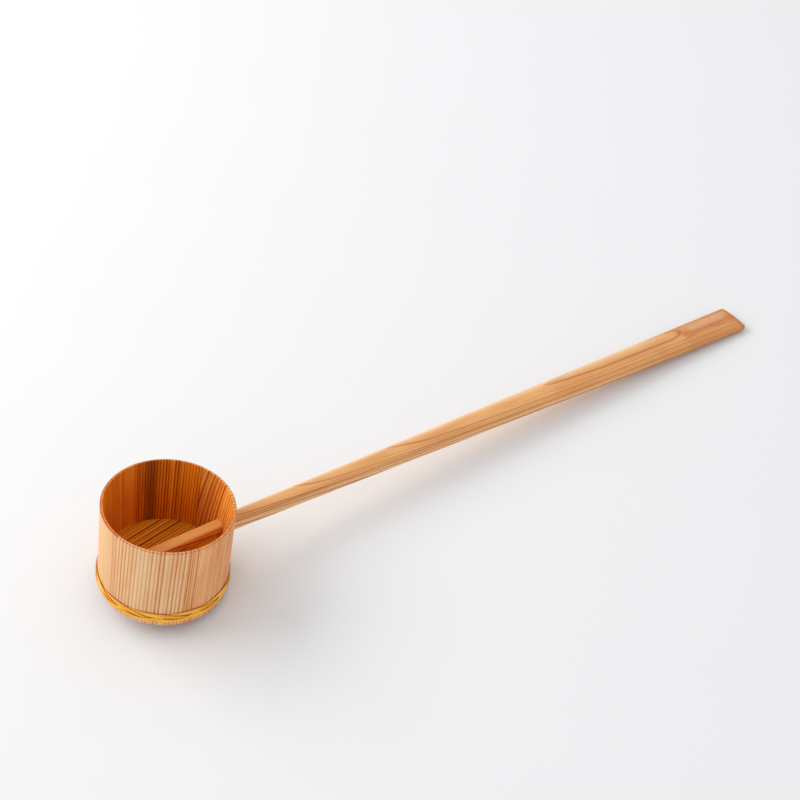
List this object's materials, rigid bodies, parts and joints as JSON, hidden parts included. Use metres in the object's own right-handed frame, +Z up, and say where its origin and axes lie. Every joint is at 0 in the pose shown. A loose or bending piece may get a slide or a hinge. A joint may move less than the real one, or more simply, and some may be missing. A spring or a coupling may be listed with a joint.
{
  "type": "hishaku water dipper",
  "caption": "Coopered cedar water dipper: staved round cup with a braided bamboo hoop and a long handle through its wall.",
  "frame": {"origin": "on the table, under the middle of the lying dipper's box", "axes": "+Z up off the table, +X along the handle from the cup to the far end, as the dipper lies at rest"},
  "size_m": [0.5352, 0.0908, 0.0813],
  "materials": {
    "cedar_staves": "planed, bare",
    "cedar_board": "planed, bare",
    "cedar_handle": "planed, bare",
    "split_bamboo": "natural skin",
    "bamboo_pins": "split, bare"
  },
  "bodies": {
    "root": {"bamboo_hoop": "split_bamboo", "bottom_board": "cedar_board", "handle": "cedar_handle", "stave_front_left": "cedar_staves", "stave_front_right": "cedar_staves", "stave_handle": "cedar_staves", "stave_pin_1_high": "bamboo_pins", "stave_pin_1_low": "bamboo_pins", "stave_pin_2_high": "bamboo_pins", "stave_pin_2_low": "bamboo_pins", "stave_pin_3_high": "bamboo_pins", "stave_pin_3_low": "bamboo_pins", "stave_pin_4_high": "bamboo_pins", "stave_pin_4_low": "bamboo_pins", "stave_pin_5_high": "bamboo_pins", "stave_pin_5_low": "bamboo_pins", "stave_pin_6_high": "bamboo_pins", "stave_pin_6_low": "bamboo_pins", "stave_rear_left": "cedar_staves", "stave_rear_right": "cedar_staves", "stave_socket": "cedar_staves"}
  },
  "joints": []
}
